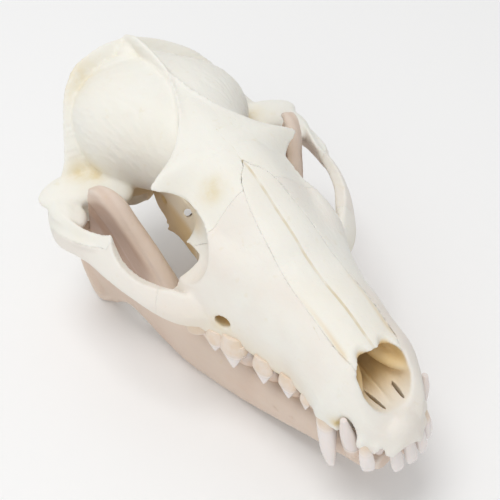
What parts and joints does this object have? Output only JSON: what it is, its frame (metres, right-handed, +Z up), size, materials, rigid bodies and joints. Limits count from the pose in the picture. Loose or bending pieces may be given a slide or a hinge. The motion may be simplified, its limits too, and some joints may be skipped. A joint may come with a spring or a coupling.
{
  "type": "raccoon dog skull",
  "caption": "Life-size still model of a raccoon dog skull with its lower jaw closed, for display on a table.",
  "frame": {"origin": "middle of the skull's footprint, at the level of the table under the lower jaw", "axes": "+Y from the incisors to the back of the head, +X to the animal's left, +Z up"},
  "size_m": [0.0705, 0.1154, 0.0613],
  "materials": {
    "braincase_bone": "ivory bone, satin",
    "muzzle_bone": "ivory bone, satin",
    "nasal_bones_bone": "ivory bone, satin",
    "zygomatic_left_bone": "ivory bone, satin",
    "zygomatic_right_bone": "ivory bone, satin",
    "mandible_left_bone": "ivory bone, satin",
    "mandible_right_bone": "ivory bone, satin"
  },
  "bodies": {
    "root": {"braincase": "braincase_bone", "muzzle": "muzzle_bone", "nasal_bones": "nasal_bones_bone", "zygomatic_left": "zygomatic_left_bone", "zygomatic_right": "zygomatic_right_bone", "mandible_left": "mandible_left_bone", "mandible_right": "mandible_right_bone"}
  },
  "joints": []
}
